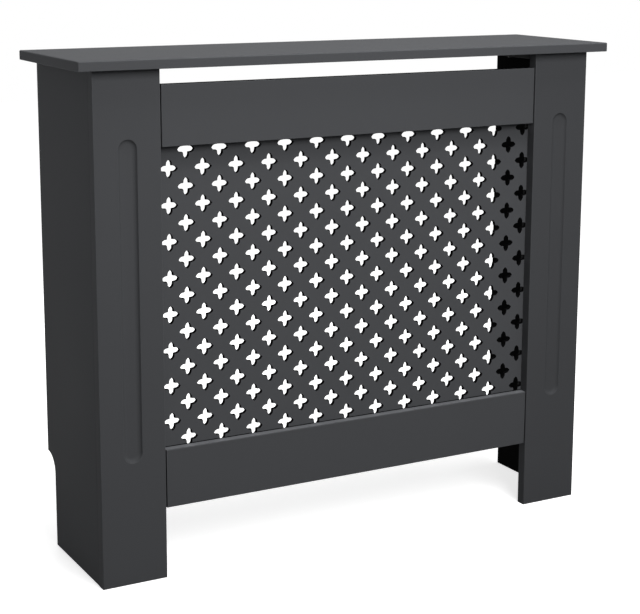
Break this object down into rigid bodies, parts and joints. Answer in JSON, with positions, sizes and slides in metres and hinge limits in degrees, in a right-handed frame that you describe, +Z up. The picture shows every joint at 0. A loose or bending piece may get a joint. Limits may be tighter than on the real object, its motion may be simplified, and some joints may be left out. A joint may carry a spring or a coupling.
{
  "type": "radiator cover cabinet",
  "caption": "Cabinet that covers a wall radiator: a flat shelf over fluted stiles and side panels, with a sheet pierced with crosses behind an open front frame.",
  "frame": {"origin": "on the floor, under the middle of the whole cabinet, shelf included", "axes": "+X to the viewer's right along the front, +Y from the front to the wall, +Z up"},
  "size_m": [0.956, 0.265, 0.815],
  "materials": {
    "anthracite_paint": "satin anthracite paint on fibreboard",
    "black_inner_paint": "matt black paint on softwood",
    "beech": "bare pressed beech",
    "zinc_steel": "bright zinc plate",
    "black_steel": "black lacquered steel"
  },
  "bodies": {
    "root": {"top_shelf": "anthracite_paint", "left_stile": "anthracite_paint", "right_stile": "anthracite_paint", "top_rail": "anthracite_paint", "bottom_rail": "anthracite_paint", "grille_sheet": "anthracite_paint", "left_side_panel": "anthracite_paint", "right_side_panel": "anthracite_paint", "left_corner_batten": "black_inner_paint", "right_corner_batten": "black_inner_paint", "top_grille_bead": "black_inner_paint", "bottom_grille_bead": "black_inner_paint", "left_grille_bead": "black_inner_paint", "right_grille_bead": "black_inner_paint", "top_rail_biscuits": "beech", "bottom_rail_biscuits": "beech", "left_shelf_cleat": "black_inner_paint", "right_shelf_cleat": "black_inner_paint", "shelf_screws": "black_steel", "left_wall_bracket": "zinc_steel", "right_wall_bracket": "zinc_steel", "wall_bracket_screws": "zinc_steel"}
  },
  "joints": []
}
